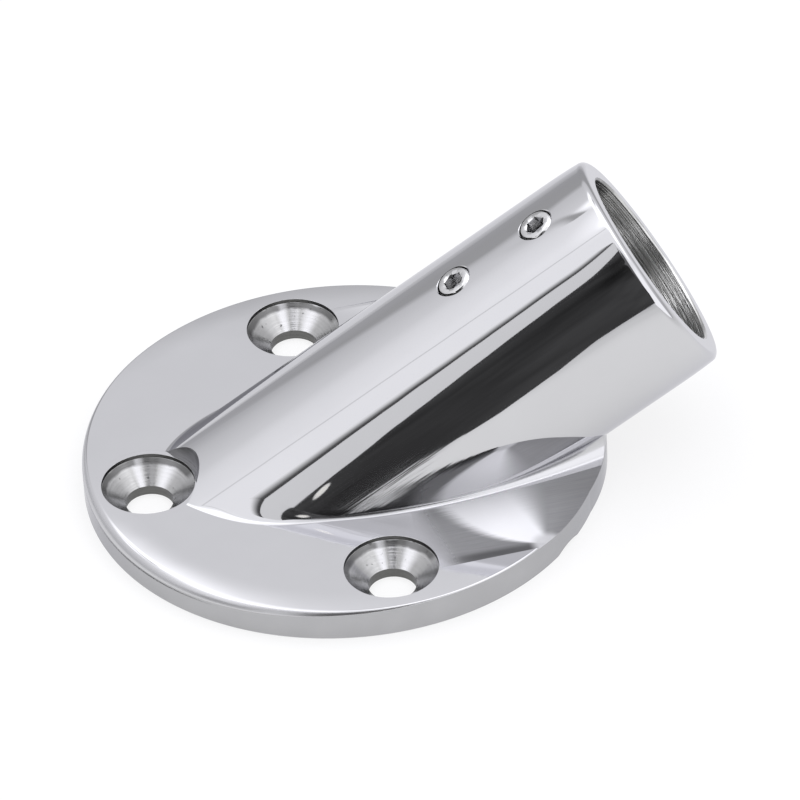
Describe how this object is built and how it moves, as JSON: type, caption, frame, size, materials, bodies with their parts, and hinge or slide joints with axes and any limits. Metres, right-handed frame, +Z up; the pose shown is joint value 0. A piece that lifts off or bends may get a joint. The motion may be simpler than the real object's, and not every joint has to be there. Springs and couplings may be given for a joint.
{
  "type": "inclined tube clamp base flange",
  "caption": "Round countersunk base flange with a leaning tube socket, blended into one polished casting, and grub screws that clamp the tube.",
  "frame": {"origin": "middle of the round flange's flat underside, midway between the two side fixing holes", "axes": "+Z up, square to the flange and out of the surface it is fixed to; +X towards the heel, the way the socket leans; -X towards the toe with its fixing hole; Y across the socket"},
  "size_m": [0.0872, 0.0704, 0.0395],
  "materials": {
    "polished_steel": "mirror-polished cast stainless steel, with machined countersinks and a linished band",
    "screw_steel": "plain bright stainless steel"
  },
  "bodies": {
    "root": {"flange_body": "polished_steel", "grub_screws": "screw_steel"}
  },
  "joints": []
}
